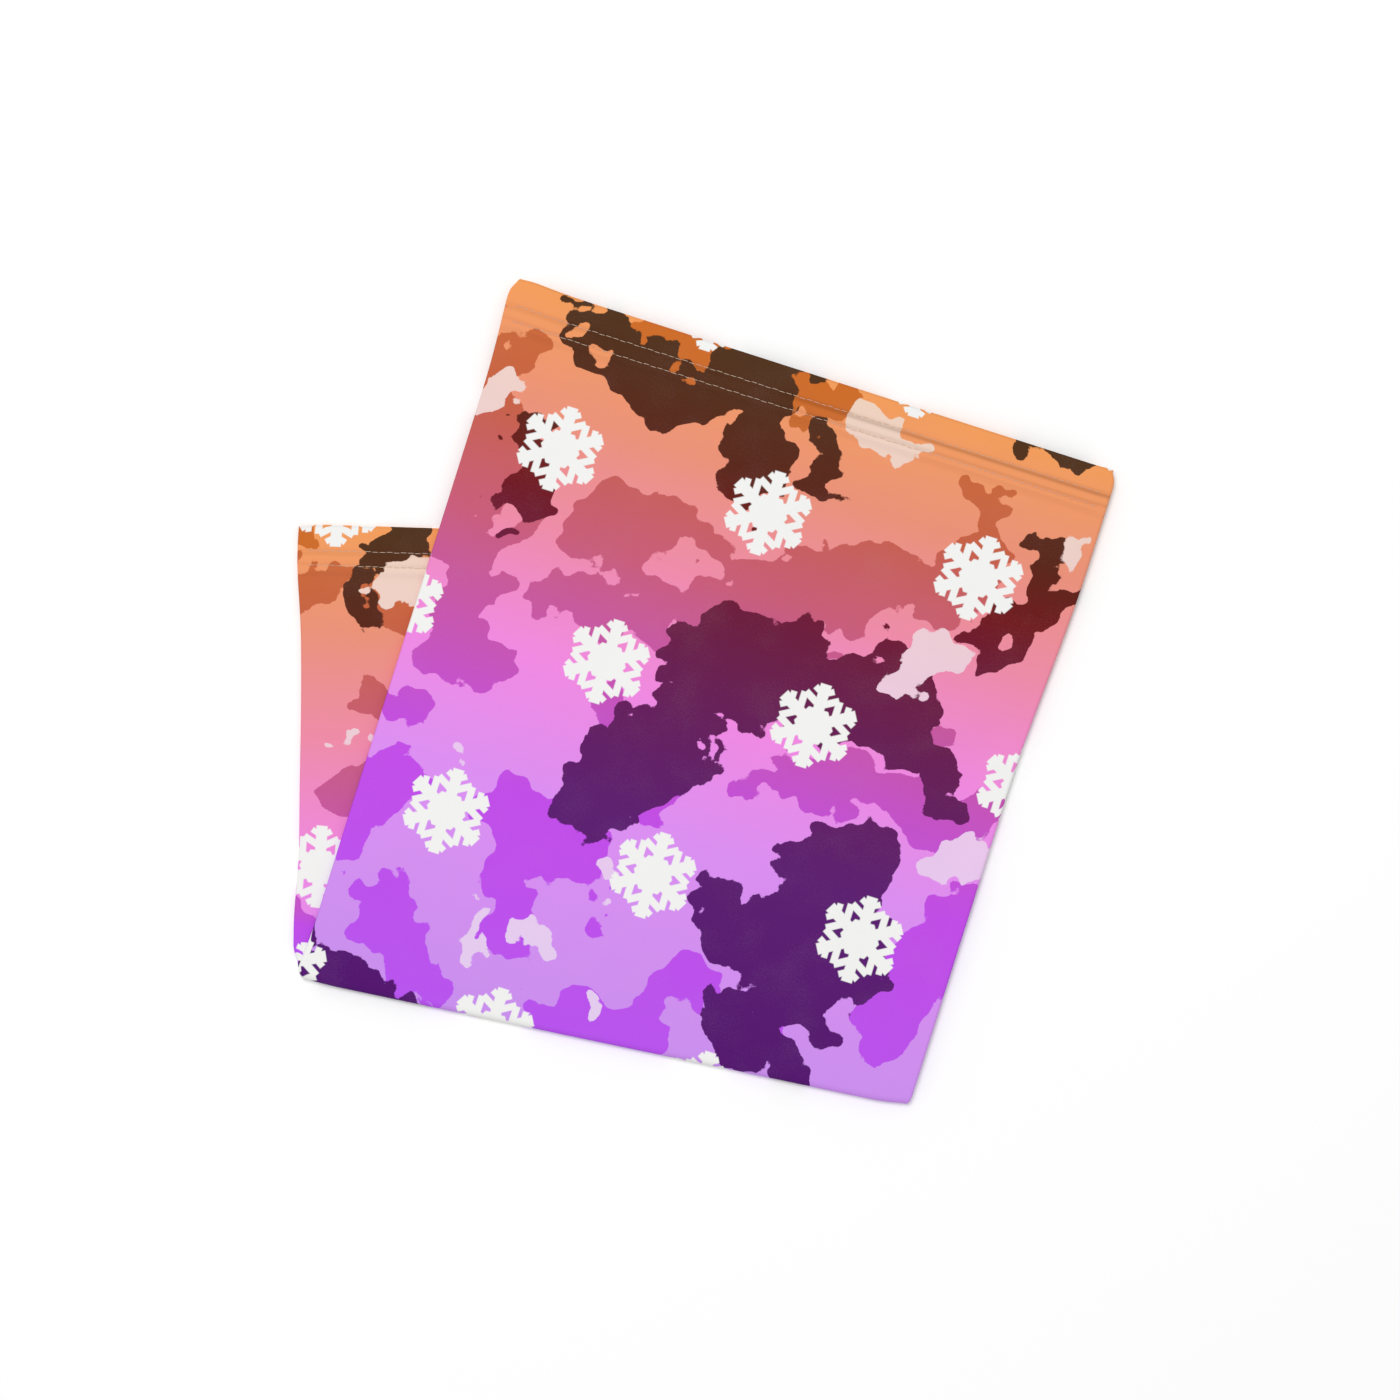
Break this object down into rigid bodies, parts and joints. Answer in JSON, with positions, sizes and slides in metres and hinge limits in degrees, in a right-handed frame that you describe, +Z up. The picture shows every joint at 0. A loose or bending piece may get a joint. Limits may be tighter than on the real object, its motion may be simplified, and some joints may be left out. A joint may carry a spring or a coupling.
{
  "type": "neck gaiter",
  "caption": "Knitted tube gaiter pressed flat and folded once across, with turned and topstitched hems and an all-over print.",
  "frame": {"origin": "middle of the footprint, on the ground that the folded gaiter lies on", "axes": "+Z up through the stack of plies, +Y from the fold towards the lower leaf's mouth, +X to the right seen from above"},
  "size_m": [0.3186, 0.322, 0.0052],
  "materials": {
    "printed_knit": "fine polyester and elastane jersey with an all-over dye print that fades from orange at the hems to purple in the middle",
    "knit_inside": "the unprinted white inner face of the same jersey",
    "stitch_thread": "off-white textured polyester sewing thread"
  },
  "bodies": {
    "lower_front": {"lower_front_panel": "printed_knit", "lower_front_hem_turn": "knit_inside", "lower_front_needle_threads": "stitch_thread", "lower_front_looper_thread": "stitch_thread", "lower_left_crease": "printed_knit", "lower_right_crease": "printed_knit", "outer_fold": "printed_knit"},
    "lower_back": {"lower_back_panel_left": "printed_knit", "lower_back_panel_right": "printed_knit", "lower_back_hem_turn": "knit_inside", "lower_back_needle_threads": "stitch_thread", "lower_back_looper_thread": "stitch_thread", "lower_seam_allowance": "knit_inside", "lower_seam_thread": "stitch_thread", "inner_fold": "printed_knit"},
    "upper_back": {"upper_back_panel_left": "printed_knit", "upper_back_panel_right": "printed_knit", "upper_back_hem_turn": "knit_inside", "upper_back_needle_threads": "stitch_thread", "upper_back_looper_thread": "stitch_thread", "upper_seam_allowance": "knit_inside", "upper_seam_thread": "stitch_thread", "upper_left_crease": "printed_knit", "upper_right_crease": "printed_knit"},
    "upper_front": {"upper_front_panel": "printed_knit", "upper_front_hem_turn": "knit_inside", "upper_front_needle_threads": "stitch_thread", "upper_front_looper_thread": "stitch_thread"}
  },
  "joints": [
    {"name": "fold", "type": "hinge", "parent": "lower_front", "child": "upper_back", "pos_m": [-0.03893, -0.13383, 0.0026], "axis": [0.9779, -0.2089, 0], "range_deg": [0, 179.5], "deforming": ["outer_fold", "inner_fold"]},
    {"name": "upper_mouth", "type": "hinge", "parent": "upper_back", "child": "upper_front", "pos_m": [-0.03893, -0.13383, 0.004], "axis": [0.9779, -0.2089, 0], "range_deg": [0, 15], "deforming": ["upper_left_crease", "upper_right_crease"]},
    {"name": "lower_mouth", "type": "hinge", "parent": "lower_front", "child": "lower_back", "pos_m": [-0.03893, -0.13383, 0.0012], "axis": [0.9779, -0.2089, 0], "range_deg": [0, 15], "deforming": ["lower_left_crease", "lower_right_crease"]}
  ],
  "couplings": [
    {"joint": "lower_mouth", "follows": "fold", "ratio": 0.0835}
  ]
}
